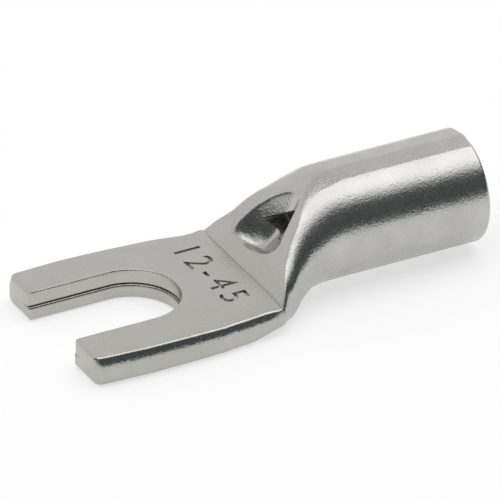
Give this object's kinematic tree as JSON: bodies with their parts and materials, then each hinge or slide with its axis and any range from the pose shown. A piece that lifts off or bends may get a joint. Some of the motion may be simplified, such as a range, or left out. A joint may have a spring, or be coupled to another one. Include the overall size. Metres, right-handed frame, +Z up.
{
  "type": "fork terminal",
  "caption": "Tinned copper tube lug: a round crimp barrel for the wire, flattened at one end into a slotted fork tongue for a stud.",
  "frame": {"origin": "centre of the bounding box at the height of the tongue's underside", "axes": "+X from the fork's tip towards the barrel's open mouth, +Z up from the tongue's underside to its top face, +Y across the tongue"},
  "size_m": [0.0296, 0.0128, 0.0075],
  "materials": {
    "tinned_copper": "satin electroplated tin over copper"
  },
  "bodies": {
    "root": {"fork_lug": "tinned_copper"}
  },
  "joints": []
}
